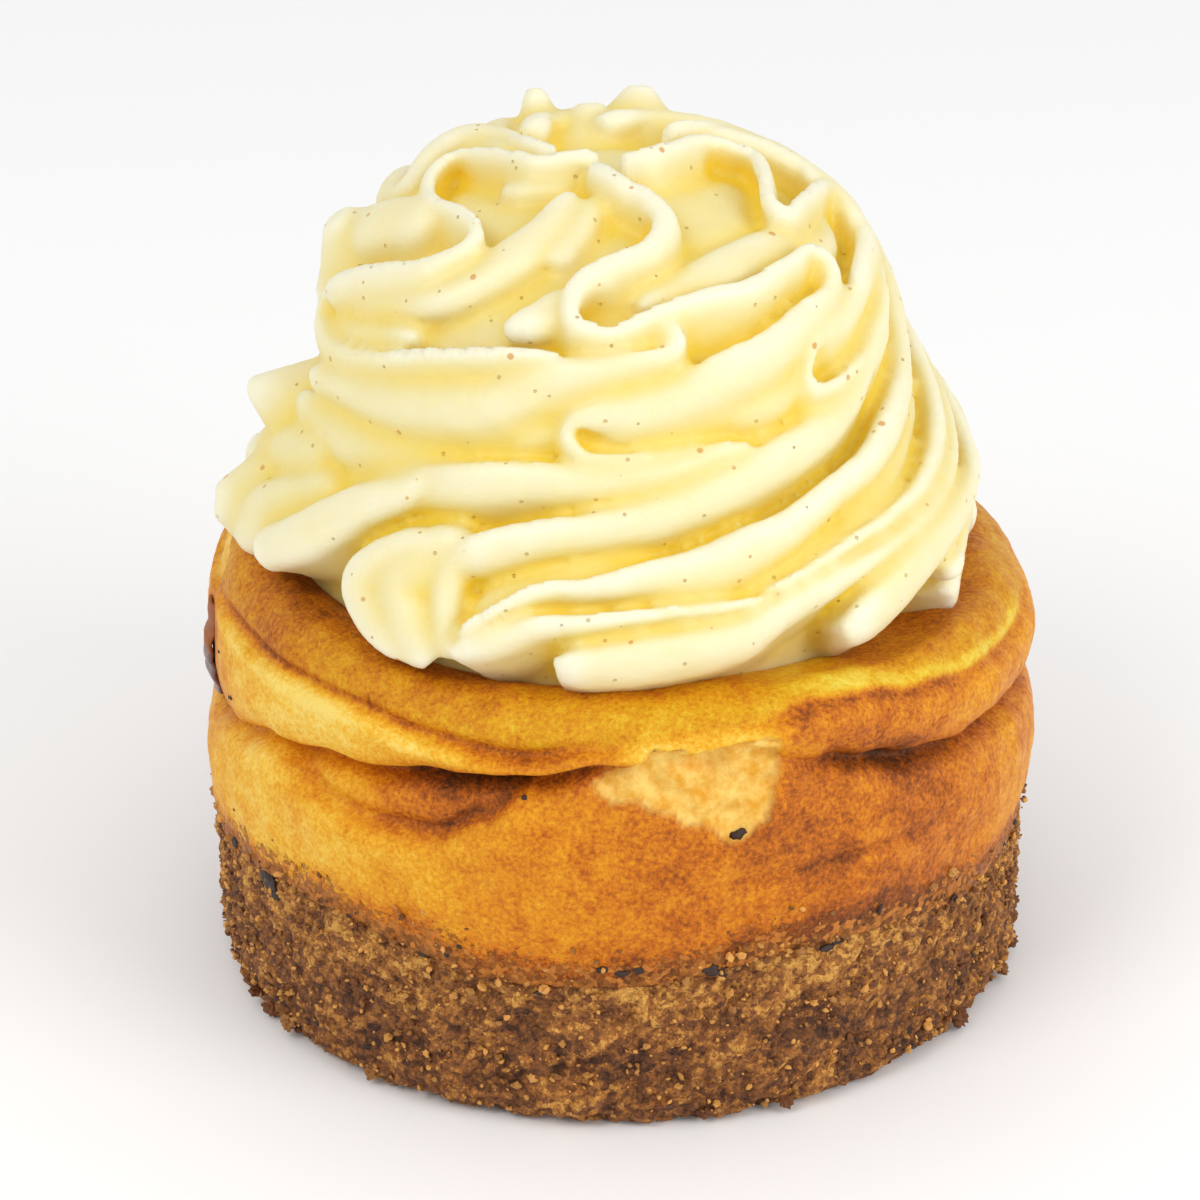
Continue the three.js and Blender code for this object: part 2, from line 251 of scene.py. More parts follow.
class Finish:
    """A material with one Principled shader, built a node at a time."""

    def __init__(self, name):
        self.material = bpy.data.materials.new(name)
        self.material.use_nodes = True
        self.tree = self.material.node_tree
        self.shader = self.tree.nodes["Principled BSDF"]
        self.place = Wire(self, self.node("ShaderNodeTexCoord").outputs["Object"])

    def node(self, kind, settings=None, values=None):
        """Adds a node with these settings, and with a number or a wire in each named socket."""
        made = self.tree.nodes.new(kind)
        for key, value in (settings or {}).items():
            setattr(made, key, value)
        for key, value in (values or {}).items():
            self.feed(made.inputs[key], value)
        return made

    def feed(self, socket, value):
        if isinstance(value, Wire):
            self.tree.links.new(value.socket, socket)
        else:
            socket.default_value = value

    def scale(self, place, stops):
        """The colour at this place, 0 to 1, on a scale of (position, colour) stops."""
        made = self.node("ShaderNodeValToRGB", None, {"Fac": place})
        marks = made.color_ramp.elements
        while len(marks) < len(stops):
            marks.new(0.5)
        for mark, (position, colour) in zip(marks, stops):
            mark.position, mark.color = position, colour
        return Wire(self, made.outputs["Color"])

    def spots(self, size, detail=2.0, roughness=0.5):
        """Noise from 0 to 1 with features of about this many millimetres."""
        values = {"Vector": self.place, "Scale": 1 / (size * MM), "Detail": detail,
                  "Roughness": roughness}
        return Wire(self, self.node("ShaderNodeTexNoise", None, values).outputs["Fac"])

    def cells(self, size):
        """Cells of about this many millimetres: a tone from 0 to 1 that each cell has to itself,
        and the distance to the cell's middle."""
        values = {"Vector": self.place, "Scale": 1 / (size * MM)}
        made = self.node("ShaderNodeTexVoronoi", None, values)
        tones = self.node("ShaderNodeSeparateColor", None, {0: Wire(self, made.outputs["Color"])})
        return Wire(self, tones.outputs[0]), Wire(self, made.outputs["Distance"])

    def value_of(self, label):
        """A number stored on the vertices."""
        made = self.node("ShaderNodeAttribute", {"attribute_name": label})
        return Wire(self, made.outputs["Fac"])

    def between(self, wire, low, high, bottom=0.0, top=1.0):
        """Stretches a value from low..high to bottom..top, eased and clamped."""
        made = self.node(
            "ShaderNodeMapRange", {"interpolation_type": "SMOOTHSTEP"},
            {"Value": wire, "From Min": low, "From Max": high, "To Min": bottom, "To Max": top},
        )
        return Wire(self, made.outputs["Result"])

    def blend(self, amount, first, second, way="MIX"):
        """The first colour with the second mixed in, or multiplied in, by an amount."""
        settings = {"data_type": "RGBA", "blend_type": way}
        made = self.node("ShaderNodeMix", settings, {0: amount, 6: first, 7: second})
        return Wire(self, made.outputs[2])

    def relief(self, height, depth, below=None):
        """A bump this many millimetres deep, on top of another bump."""
        values = {"Height": height, "Distance": depth * MM, "Strength": 1.0}
        if below:
            values["Normal"] = below
        return Wire(self, self.node("ShaderNodeBump", None, values).outputs["Normal"])

    def set(self, **values):
        """Feeds the Principled shader, and hands over the finished material."""
        for key, value in values.items():
            self.feed(self.shader.inputs[key.replace("_", " ")], value)
        return self.material


def shade(red, green, blue):
    """A colour read off a picture, 0 to 255, as the light it stands for."""
    def light(level):
        level /= 255
        return level / 12.92 if level <= 0.04045 else ((level + 0.055) / 1.055) ** 2.4
    return (light(red), light(green), light(blue), 1)


# %% [markdown]
# ## The crumb base
# Crushed biscuit and butter, pressed in the ring. Seen close it is a pile of grains: dark brown where
# the butter baked in, gold where a grain stands proud. How far a grain stands proud also paints it
# lighter and the gaps between grains darker, a painted highlight and painted shade. A spun profile
# gives the disc, the noise library then pushes its fine mesh in and out by clump and by grain, so
# that the ragged lower edge shows on the outline too, and the material adds the grains that are
# finer still.

# %% Sizes of the crumb base
BASE_RADIUS = 39.0
SEAM_HEIGHT = 16.6
BASE_EDGE_ROUND = 2.0
SEAM_WAVE, WAVES_ROUND, WAVE_CREST = 1.2, 5, 27
SKIN_SPACING = 0.42  # along a spun profile
BASE_STEPS = 560  # round it


def seam_height(azimuth):
    """The height of the wavy line where the crumb ends and the filling begins."""
    return SEAM_HEIGHT + SEAM_WAVE * math.cos(math.radians(WAVES_ROUND * (azimuth - WAVE_CREST)))


def crumbly(point):
    """How far the crumb surface stands in or out here, in millimetres."""
    clumps = lumps(point, 4.2, 3) * 0.55
    grains = noise.voronoi(point / 1.15)[0][0]
    small = lumps(point, 0.75, 9) * 0.32
    return clumps + 0.34 - 0.78 * grains + small


# %% Model the crumb base
base_profile = finely(
    [(0, 0), (30, 0), (36.2, 0.0), (37.9, 0.5), (38.8, 1.8), (39.1, 4), (39.2, 9), (39.1, 14),
     (38.9, 16.2), (38.2, 17.2), (36, 17.4)], SKIN_SPACING,
) + [(20, 17.0), (0, 17.0)]
base_shape = spun(base_profile, BASE_STEPS)
base_shape.normal_update()
base_proud, base_upper = [], []
for vertex in base_shape.verts:
    azimuth, radius = azimuth_of(vertex.co), radius_of(vertex.co)
    lift = ramp(4, SEAM_HEIGHT, vertex.co.z) * (seam_height(azimuth) - SEAM_HEIGHT)
    vertex.co.z += lift * ramp(20, 36, radius)
    stand = crumbly(vertex.co) * ramp(33, 37, radius)
    worn = 0.5 * ramp(3.0, 0.0, vertex.co.z) * ramp(-0.2, 0.5, lumps(vertex.co, 3.0, 21))
    push = vertex.normal * stand
    if vertex.co.z < 0.6:  # nothing grows down into the table
        push.z = max(push.z, 0.0) * 0.6
    vertex.co += push
    vertex.co -= turned(azimuth, worn, 0)
    vertex.co.z = max(vertex.co.z, 0.0)
    base_proud.append(stand)
    base_upper.append(ramp(8, 16, vertex.co.z))
print("crumb stands between", round(min(base_proud), 2), "and", round(max(base_proud), 2), "mm")

# %% The crumb's finish
crumb = Finish("baked crumb")
proud = crumb.value_of("proud")
coarse, coarse_edge = crumb.cells(0.8)
small, small_edge = crumb.cells(0.36)
patches = crumb.spots(3.2, 4, 0.62)
fine = crumb.spots(0.3, 4, 0.7)
# Grains that stand proud are painted lighter and the gaps between them darker: a painted highlight and
# painted shade, on top of each grain's own tone.
light = 0.42 * coarse + 0.34 * small + 0.42 * (fine - 0.5) + 0.7 * (patches - 0.5) + 0.42 * proud
crumb_colour = crumb.scale(0.09 + 0.9 * light + 0.16 * crumb.value_of("upper"), [
    (0.0, shade(58, 28, 8)), (0.26, shade(104, 58, 20)), (0.46, shade(142, 84, 30)),
    (0.66, shade(182, 116, 44)), (0.88, shade(228, 168, 76)),
])
crumb_bump = crumb.relief(small_edge, -0.22, crumb.relief(coarse_edge, -0.35))
crumb_bump = crumb.relief(fine, 0.2, crumb_bump)
baked_crumb = crumb.set(Base_Color=crumb_colour, Roughness=0.75, Normal=crumb_bump)
baked_crumb_base = solid_piece(
    "crumb_base_detail", base_shape, baked_crumb, "crumb_base",
    {"proud": base_proud, "upper": base_upper},
)

# %% [markdown]
# Loose crumbs cling to the side. Each is a small rough ball, sunk to its middle. Nine in ten have
# only twenty faces, so thousands of them cost little. They thin out above the seam, where only a
# few stick to the filling, and a few larger clumps lie low, near the foot.

# %% Scatter the crumbs
HANDFULS, CRUMBS_IN_HANDFUL = 80, 45
ABOVE_SEAM_CHANCE, CLUMP_CHANCE = 0.12, 0.009
CLUMP_SIZES = (0.5, 0.95)
chance = random.Random(11)


def crumb_ball(shape, middle, radius, rounds):
    """A rough little lump of crumb at this place."""
    angle = chance.uniform(0, math.tau)
    turn = Matrix.Rotation(angle, 4, Vector((chance.random(), chance.random(), 1)))
    stretch = Matrix.Diagonal(
        (chance.uniform(0.6, 1.4), chance.uniform(0.6, 1.3), chance.uniform(0.5, 1), 1)
    )
    made = bmesh.ops.create_icosphere(
        shape, subdivisions=rounds, radius=radius, matrix=Matrix.Translation(middle) @ turn @ stretch
    )
    for vertex in made["verts"]:
        vertex.co += (vertex.co - middle) * chance.uniform(-0.35, 0.35)
    return len(made["verts"])


def add_handful(whole, handful):
    """Adds a small bmesh to a large one, since operators slow down as a bmesh grows."""
    mesh = bpy.data.meshes.new("handful")
    handful.to_mesh(mesh)
    handful.free()
    whole.from_mesh(mesh)
    bpy.data.meshes.remove(mesh)


crumbs_shape = bmesh.new()
crumb_tones = []
for _ in range(HANDFULS):
    handful = bmesh.new()
    for _ in range(CRUMBS_IN_HANDFUL):
        azimuth = chance.uniform(-180, 180)
        seam = seam_height(azimuth)
        height = seam * chance.random() ** 0.9 + 0.3
        above = chance.random() < ABOVE_SEAM_CHANCE
        if above:
            height = seam + 5.0 * chance.random() ** 2
        size = 0.11 + 0.30 * chance.random() ** 1.7
        if not above and chance.random() < CLUMP_CHANCE:
            size, height = chance.uniform(*CLUMP_SIZES), chance.uniform(0.5, 1.2)
        height = max(height, 1.9 * size)  # clear of the table, however it is stretched
        reach = BASE_RADIUS + 0.15 - BASE_EDGE_ROUND * ramp(2.2, 0.0, height) + (0.5 if above else 0)
        rounds = 3 if size > 0.6 else 2 if size > 0.36 else 1
        tone_here = chance.uniform(0.1, 1.0) * (0.5 if size > 0.45 else 1.0)  # clumps are darker
        count = crumb_ball(handful, turned(azimuth, reach, height), size, rounds)
        crumb_tones += [tone_here] * count
    add_handful(crumbs_shape, handful)

# %% The loose crumbs' finish
grains = Finish("loose crumb")
tone = grains.value_of("tone")
speckle = grains.spots(0.3, 3, 0.6)
grain_light = grains.between(tone + 0.3 * speckle, 0.35, 1.15)
grain_colour = grains.blend(grain_light, shade(110, 62, 22), shade(218, 156, 74))
loose_crumb = grains.set(Base_Color=grain_colour, Roughness=0.7, Normal=grains.relief(speckle, 0.1))
loose_crumbs = solid_piece(
    "loose_crumbs", crumbs_shape, loose_crumb, None, {"tone": crumb_tones}, flat=True
)

# %% [markdown]
# ## The baked filling
# It rose in the oven, rolled out over the ring and sank again, which left a puffed lip with a
# fold under it. Where the fold was tight at the front the crust tore, and the pale inside shows.
# One profile is spun finely, then every vertex is moved by rules: the levels of seam, fold, lip
# and top are eased round the cake from a few measured azimuths, and dents, tears and puffs are
# added. That keeps the surface closed and smooth, as one baked skin is.

# %% Levels of the filling round the cake
FOLD_HEIGHTS = [
    (-180, 29.5), (-130, 28.5), (-83, 28.2), (-69, 29.4), (-56, 31.6), (-41, 33.3), (-24, 35.0),
    (-12, 36.2), (-3, 38.2), (6, 39.0), (20, 38.6), (28, 36.6), (36, 34.9), (44, 33.4), (54, 32.3),
    (70, 31.2), (84, 29.9), (110, 29.3), (145, 29),
]
LIP_HEIGHTS = [
    (-180, 39), (-130, 40), (-83, 39.8), (-60, 40.0), (-39, 40.1), (-28, 39.2), (-14, 38.6),
    (-4, 39.8), (6, 41.0), (18, 41.4), (26, 42.6), (35, 42.0), (46, 40.2), (58, 38.6), (74, 37.4),
    (95, 37.6), (140, 38.4),
]
TOP_HEIGHTS = [
    (-180, 44), (-130, 46), (-95, 46.2), (-60, 44.8), (-30, 43.6), (0, 43.4), (28, 43.8),
    (60, 42.2), (90, 41.5), (145, 42.2),
]
FOLD_DEPTHS = [
    (-180, 1.3), (-100, 1.4), (-60, 1.6), (-30, 1.9), (-12, 2.2), (-4, 1.2), (4, 0.1), (22, 0.1),
    (33, 1.5), (50, 1.7), (75, 1.7), (88, 2.0), (130, 1.5),
]
SECOND_FOLD = [
    (-59, 31.3), (-51, 30.6), (-43, 29.6), (-36, 29.2), (-26, 29.8), (-18, 32.6), (-13, 35.6),
]
PLAIN_LEVELS = [SEAM_HEIGHT, 32.0, 38.6, 43.2]  # seam, fold, lip and top in the profile below
SIDE_RADIUS = 40.0
FILLING_STEPS = 576

filling_profile = [(0, 17.0), (20, 17.0)] + finely(
    [(36, 16.9), (39.0, 16.4), (39.4, 18), (39.8, 21), (40.05, 25), (39.95, 28), (39.6, 30.4),
     (39.15, 31.5), (38.9, 32.0), (39.1, 32.6), (39.5, 33.8), (39.8, 35.3), (39.65, 36.9),
     (39.05, 38.1), (38.55, 38.6), (38.25, 39.2), (37.5, 40.6), (36.4, 41.9), (35, 42.8),
     (33.3, 43.2), (31, 42.6), (28.5, 41.6)], SKIN_SPACING,
) + [(24, 41.0), (12, 40.8), (0, 40.8)]


def local_level(height, azimuth):
    """Moves a height of the plain profile to where that level lies at this azimuth."""
    here = [seam_height(azimuth), round_the_cake(FOLD_HEIGHTS, azimuth),
            round_the_cake(LIP_HEIGHTS, azimuth), round_the_cake(TOP_HEIGHTS, azimuth)]
    levels = list(zip(PLAIN_LEVELS, here))
    if height <= SEAM_HEIGHT:
        return height + here[0] - SEAM_HEIGHT
    for (a, low), (b, high) in zip(levels, levels[1:]):
        if height <= b:
            return lerp(low, high, (height - a) / (b - a))
    return height + here[-1] - PLAIN_LEVELS[-1]


# %% [markdown]
# The torn patch has a crooked outline that is easiest to give as a few corners. The distance to
# the nearest side tells how deep a spot lies inside it, and noise frays the border.

# %% Tears, pockets and creases
TEAR_CORNERS = [
    (-3.5, 36.9), (4.4, 40.7), (11.5, 40.5), (20.8, 40.9), (21.2, 36.6), (18.9, 32.3),
    (15.2, 30.9), (7.2, 33.6), (3, 35.2), (-1.3, 35.4),
]
MM_PER_DEGREE = 0.69  # along the side
LEFT_TEAR = {"azimuth": -89, "height": 41.2, "across": 8.5, "tall": 2.2}
FLAKE_POCKET = {"azimuth": -81, "height": 35.6, "across": 5.0, "tall": 3.0}
CREASE_AZIMUTH, CREASE_HEIGHT = 32, 26.6  # a level crease, low on the right


def inside_corners(azimuth, height, corners):
    """Distance in millimetres into the outline, or out of it as a negative number."""
    spot = Vector((azimuth * MM_PER_DEGREE, height))
    points = [Vector((a * MM_PER_DEGREE, h)) for a, h in corners]
    nearest, inside = 1e9, False
    for a, b in zip(points, points[1:] + points[:1]):
        share = max(0, min(1, (spot - a).dot(b - a) / (b - a).length_squared))
        nearest = min(nearest, (spot - a - (b - a) * share).length)
        crossed = (a.y > height) != (b.y > height)
        if crossed and spot.x < a.x + (b.x - a.x) * (height - a.y) / (b.y - a.y):
            inside = not inside
    return nearest if inside else -nearest


def hollow(spot, azimuth, height):
    """1 in the middle of an oval spot, fading out round it."""
    across = (azimuth - spot["azimuth"]) / spot["across"]
    tall = (height - spot["height"]) / spot["tall"]
    return math.exp(-(across**2) - tall**2)


def torn(azimuth, height):
    """1 where the crust is torn off, 0 on the crust, with a ragged edge between."""
    edge = turned(azimuth, SIDE_RADIUS, height)
    if -8 < azimuth < 26:
        rag = 0.55 * lumps(edge, 2.2, 31) + 0.4 * lumps(edge, 0.8, 33)
        return ramp(-0.1, 0.35, inside_corners(azimuth, height, TEAR_CORNERS) + rag)
    if -110 < azimuth < -70:
        rag = 0.5 * lumps(edge, 1.6, 35) + 0.2 * lumps(edge, 0.7, 37)
        return ramp(0.30, 0.48, hollow(LEFT_TEAR, azimuth, height) + 0.35 * rag)
    return 0.0


def second_fold(azimuth, height):
    """How deep the lesser fold on the front left is here, 0 to 1."""
    if not SECOND_FOLD[0][0] < azimuth < SECOND_FOLD[-1][0]:
        return 0.0
    fold = round_the_cake(SECOND_FOLD, azimuth)
    return ramp(-60, -48, azimuth) * ramp(-12, -20, azimuth) * swell(height - fold, 1.0)


def drape(azimuth, height):
    """1 between the two folds on the front left."""
    if not SECOND_FOLD[0][0] < azimuth < SECOND_FOLD[-1][0]:
        return 0.0
    low, high = round_the_cake(SECOND_FOLD, azimuth), round_the_cake(FOLD_HEIGHTS, azimuth)
    return ramp(low - 1, low + 0.5, height) * ramp(high + 1.2, high, height)


# %% [markdown]
# How far the crust browned is one number between 0 (custard) and 1 (charred). It is set by
# azimuth for the side, the lip and the top, and raised toward the crumb base. The same number also
# carries painted light: it is raised in folds, in the drape between them and in the low crease on
# the right, as painted shade, and along the line where the lip meets the top it is raised in the
# crease, as painted shade, and lowered on the crest beside it, as a painted highlight.

# %% Browning, painted shade and painted highlights
# Painted light: the side and the lip are kept paler on the front left, where the light falls; elsewhere
# these numbers are how far the crust browned.
SIDE_BROWNING_AND_PAINTED_LIGHT = [
    (-180, 0.55), (-110, 0.52), (-85, 0.36), (-62, 0.2), (-45, 0.28), (-22, 0.42), (-4, 0.56),
    (12, 0.6), (24, 0.66), (42, 0.66), (58, 0.58), (74, 0.48), (95, 0.52), (140, 0.56),
]
LIP_BROWNING_AND_PAINTED_LIGHT = [
    (-180, 0.45), (-100, 0.42), (-78, 0.46), (-62, 0.26), (-45, 0.12), (-32, 0.28), (-14, 0.58),
    (-4, 0.46), (4, 0.2), (18, 0.24), (25, 0.58), (40, 0.6), (55, 0.5), (75, 0.46), (120, 0.45),
]
TOP_BROWNING = [
    (-180, 0.46), (-90, 0.5), (-62, 0.54), (-40, 0.48), (-20, 0.44), (-6, 0.38), (12, 0.34),
    (28, 0.4), (45, 0.44), (80, 0.42), (130, 0.44),
]


def browning_and_painted_light(azimuth, radius, height):
    """How brown the crust is here, with painted shade in folds and creases and painted highlights on crests
    added in.
    """
    fold = round_the_cake(FOLD_HEIGHTS, azimuth)
    lip = round_the_cake(LIP_HEIGHTS, azimuth)
    depth = round_the_cake(FOLD_DEPTHS, azimuth)
    side = round_the_cake(SIDE_BROWNING_AND_PAINTED_LIGHT, azimuth)
    roll = round_the_cake(LIP_BROWNING_AND_PAINTED_LIGHT, azimuth)
    top = round_the_cake(TOP_BROWNING, azimuth)
    brown = lerp(side, roll, ramp(fold - 0.3, fold + 1.0, height))
    brown = lerp(brown, top, ramp(lip - 0.3, lip + 0.5, height))
    brown += 0.16 * ramp(37.0, 33.5, radius) * ramp(lip, lip + 1, height)
    # Painted shade: darker in the fold and in the band under the lip just above it.
    brown += 0.24 * min(1, depth / 1.5) * swell(height - fold, 1.0)
    brown += 0.10 * min(1, depth / 1.5) * swell(height - fold - 1.5, 1.5)
    above_lip = height - lip
    # Painted shade in the crease where the top meets the lip, and a painted highlight on the crest beside
    # it, on both sides of the cake.
    brown += left_rim(azimuth) * (
        0.26 * swell(above_lip - 0.3, 0.45) - 0.16 * swell(above_lip + 1.0, 0.7))
    brown += right_rim(azimuth) * (0.16 * swell(above_lip, 0.5) - 0.3 * swell(above_lip - 1.0, 0.6))
    # Painted shade in the lesser fold and in the drape between the folds.
    brown += 0.16 * second_fold(azimuth, height)
    brown += 0.26 * drape(azimuth, height) * ramp(-48, -24, azimuth)
    brown += 0.3 * hollow(FLAKE_POCKET, azimuth, height)
    # Painted shade in the low crease on the right.
    brown += 0.12 * swell(azimuth - CREASE_AZIMUTH, 14) * swell(height - CREASE_HEIGHT, 0.6)
    waver = 1.6 * lumps(turned(azimuth, SIDE_RADIUS, height), 4, 71)
    near_seam = height - seam_height(azimuth) + waver
    brown += 0.30 * ramp(5.5, 0.2, near_seam)
    return brown


def left_rim(azimuth):
    """1 where the top meets the lip in a crease, painted brown as shade, with a crest outside it painted
    pale as a highlight.
    """
    return ramp(-82, -70, azimuth) * ramp(2, -14, azimuth)


def right_rim(azimuth):
    """1 where a thin crest, painted bright as a highlight above a groove painted darker as shade, divides
    the hollow of the top from the right lobe of the lip.
    """
    return ramp(14, 28, azimuth) * ramp(88, 74, azimuth)


# %% Model the filling
filling_shape = spun(filling_profile, FILLING_STEPS)
filling_shape.normal_update()
torn_amount, brown_and_light_amount, top_amount, crumbed_amount = [], [], [], []
for vertex in filling_shape.verts:
    azimuth, radius = azimuth_of(vertex.co), radius_of(vertex.co)
    height = lerp(vertex.co.z, local_level(vertex.co.z, azimuth), ramp(24, 34, radius))
    fold = round_the_cake(FOLD_HEIGHTS, azimuth)
    lip = round_the_cake(LIP_HEIGHTS, azimuth)
    side = ramp(36.5, 38, radius)
    tear = torn(azimuth, height) * side
    brown_and_light_amount.append(browning_and_painted_light(azimuth, radius, height))
    top_amount.append(ramp(lip - 0.2, lip + 0.8, height))
    torn_amount.append(tear)
    above_seam = height - seam_height(azimuth) + 1.2 * lumps(vertex.co, 5, 75)
    crumbed_amount.append(ramp(6.5, -0.5, above_seam))
    depth = round_the_cake(FOLD_DEPTHS, azimuth)
    waver = 0.5 * lumps(turned(azimuth, SIDE_RADIUS, 0), 7, 73)
    radius -= side * depth * swell(height - fold - waver, 0.9)
    radius -= side * 0.3 * depth * swell(height - fold, 3.0)
    radius -= 0.6 * left_rim(azimuth) * swell(height - lip - 0.3, 0.5) * ramp(35.5, 37, radius)
    radius += 0.35 * left_rim(azimuth) * swell(height - lip + 0.9, 0.8) * side
    radius -= 0.35 * right_rim(azimuth) * swell(height - lip, 0.5) * ramp(35.5, 37, radius)
    sag = ramp(36.2, 33.0, radius) * ramp(30, 40, height)
    height -= 1.0 * right_rim(azimuth) * sag + 0.5 * left_rim(azimuth) * sag
    radius -= side * 1.05 * second_fold(azimuth, height)
    radius -= side * 0.7 * drape(azimuth, height)
    radius -= side * 0.7 * hollow(FLAKE_POCKET, azimuth, height)
    radius -= side * 0.5 * swell(azimuth - CREASE_AZIMUTH, 14) * swell(height - CREASE_HEIGHT, 0.7)
    point = turned(azimuth, radius, height)
    puff = 0.45 * lumps(point, 11, 2) + 0.26 * lumps(point, 4.2, 4) + 0.09 * lumps(point, 1.4, 6)
    point += vertex.normal * puff * ramp(28, 33, radius_of(point))
    crumbling = 0.6 * lumps(point, 2.1, 41) + 0.2 * lumps(point, 0.9, 43)
    point += vertex.normal * tear * (1.3 * crumbling - 0.9)
    vertex.co = point
print(sum(amount > 0.5 for amount in torn_amount), "vertices lie where the crust is torn off")

# %% [markdown]
# How brown the crust is, painted shade and painted highlights included, feeds a colour scale from
# custard to char. Noise from large clouds down to pores breaks up its bands, and the top, which
# the cream kept damp, is a little greener and duller.

# %% The filling's finish
bake = Finish("baked filling")
tear_here = bake.value_of("torn")
top_here = bake.value_of("top")
cloud = bake.spots(8.0, 3, 0.5)
mottle = bake.spots(2.2, 4, 0.62)
pores = bake.spots(0.45, 3, 0.7)
# This sum carries the painted shade of folds and creases and the painted highlights on the rim's crests,
# along with how brown the crust is.
brown = (bake.value_of("browning_and_painted_light") + 0.40 * (cloud - 0.5) + 0.50 * (mottle - 0.5)
         + 0.75 * (pores - 0.5))
colour = bake.scale(brown, [
    (0.0, shade(244, 212, 108)), (0.18, shade(240, 190, 60)), (0.34, shade(230, 162, 24)),
    (0.5, shade(216, 134, 14)), (0.64, shade(194, 104, 14)), (0.8, shade(144, 72, 14)),
    (1.0, shade(80, 42, 14)),
])
colour = bake.blend(top_here, colour, (0.88, 0.94, 0.5, 1), "MULTIPLY")
shreds = bake.between(bake.spots(1.6, 5, 0.6) + 0.3 * cloud, 0.45, 0.85)
inside = bake.blend(shreds, shade(222, 158, 44), shade(240, 204, 110))
colour = bake.blend(tear_here, colour, inside)
grit, _ = bake.cells(0.5)
gritty = bake.between(bake.value_of("crumbed") + 0.5 * (grit - 0.5) + 0.5 * (pores - 0.5), 0.55, 0.8)
colour = bake.blend(gritty, colour, bake.blend(grit, shade(92, 50, 16), shade(196, 120, 44)))
skin_bump = bake.relief(mottle, 0.3, bake.relief(gritty * grit, 0.25))
skin_bump = bake.relief(pores * (1 - 0.6 * tear_here), 0.2, skin_bump)
baked_skin = bake.set(
    Base_Color=colour, Roughness=bake.between(mottle + 0.4 * tear_here, 0.3, 0.8, 0.42, 0.62),
    Normal=skin_bump, Specular_IOR_Level=0.22, Subsurface_Weight=0.08,
    Subsurface_Radius=(0.003, 0.0018, 0.0008), Subsurface_Scale=0.4,
)
filling = solid_piece(
    "filling_skin", filling_shape, baked_skin, "baked_filling",
    {"torn": torn_amount, "browning_and_painted_light": brown_and_light_amount, "top": top_amount, "crumbed": crumbed_amount},
)

# %% [markdown]
# On the far left a flake of caramelised crust has lifted off and curls away from the side. It is
# a small grid, bowed along its height, roughened and thickened. Its lower half shines, and is also
# given a greyer colour there, a painted sheen.

# %% The flake
FLAKE_AZIMUTH, FLAKE_RADIUS = -82, 39.25
FLAKE_MIDDLE, FLAKE_HALF_HEIGHT = 33.4, 5.2


def smoothed(shape, vertices, factor, rounds=1):
    """Moves vertices toward the middle of their neighbours."""
    for _ in range(rounds):
        bmesh.ops.smooth_vert(
            shape, verts=vertices, factor=factor, use_axis_x=True, use_axis_y=True, use_axis_z=True
        )


flake_shape = bmesh.new()
bmesh.ops.create_grid(flake_shape, x_segments=8, y_segments=24, size=0.5)
for vertex in flake_shape.verts:
    across, up = vertex.co.x, vertex.co.y * 2
    height = FLAKE_MIDDLE + FLAKE_HALF_HEIGHT * up
    azimuth = FLAKE_AZIMUTH + (6.0 - 2.0 * up * up) * across + 1.5 * up
    lift = 0.05 + 0.5 * math.cos(2.6 * up) - 1.8 * across * across + 0.9 * max(0, up - 0.6)
    rough = 0.35 * lumps(Vector((across, 3 * up, 0)), 0.6, 81)
    vertex.co = turned(azimuth, FLAKE_RADIUS + lift + rough, height)
bmesh.ops.recalc_face_normals(flake_shape, faces=flake_shape.faces)
bmesh.ops.solidify(flake_shape, geom=flake_shape.faces[:], thickness=0.4)
smoothed(flake_shape, flake_shape.verts, 0.4)
gloss_amount = [ramp(34.5, 32.5, vertex.co.z) for vertex in flake_shape.verts]
caramel = Finish("caramelised flake")
glossy = caramel.value_of("gloss")
streak = caramel.spots(0.7, 3, 0.6)
dull = caramel.blend(streak, shade(116, 58, 20), shade(176, 100, 40))
# The shine's colour is a painted sheen: greyer than the caramel, mixed in where the flake is glossy.
painted_sheen = caramel.blend(streak, shade(92, 62, 58), shade(132, 104, 100))
caramelised = caramel.set(
    Base_Color=caramel.blend(glossy, dull, painted_sheen), Normal=caramel.relief(streak, 0.1),
    Roughness=caramel.between(glossy, 0, 1, 0.55, 0.25),
)
flake = solid_piece("lifted_flake", flake_shape, caramelised, None, {"gloss": gloss_amount})

# %% [markdown]
# ## The piped cream
# A star nozzle lays a rope with fins, and as the rope winds up its fins show as ridges that climb
# round the mound and fold over each other at the front. Simulating the rope does not give the
# folds of one particular swirl, so each ridge is drawn by itself: a route of stations on a round
# mound, along which one fin-shaped outline is extruded. The fins overlap freely, a voxel remesh
# fuses them into one skin, and smoothing melts the joins as soft cream does.

# %% The mound and its ridges
MOUND_CENTRE = Vector((-1.4, 0.0, 44.0))
MOUND_PROFILE = [
    (35.0, 40), (36.3, 47), (35.2, 51.4), (32.9, 55.6), (30.4, 59.8), (27.7, 65), (26.7, 69),
    (25.3, 73), (22.8, 76), (18.5, 78.8), (12, 81.2), (6, 82.5), (0, 83),
]
CLIMB = 2.5  # degrees that a ridge swings round for each degree that it climbs
CROWN_ELEVATION = 76
# The same profile as pairs of an elevation and a distance from the mound's centre.
MOUND = [(math.degrees(math.atan2(z - MOUND_CENTRE.z, r)), math.hypot(r, z - MOUND_CENTRE.z))
         for r, z in MOUND_PROFILE]

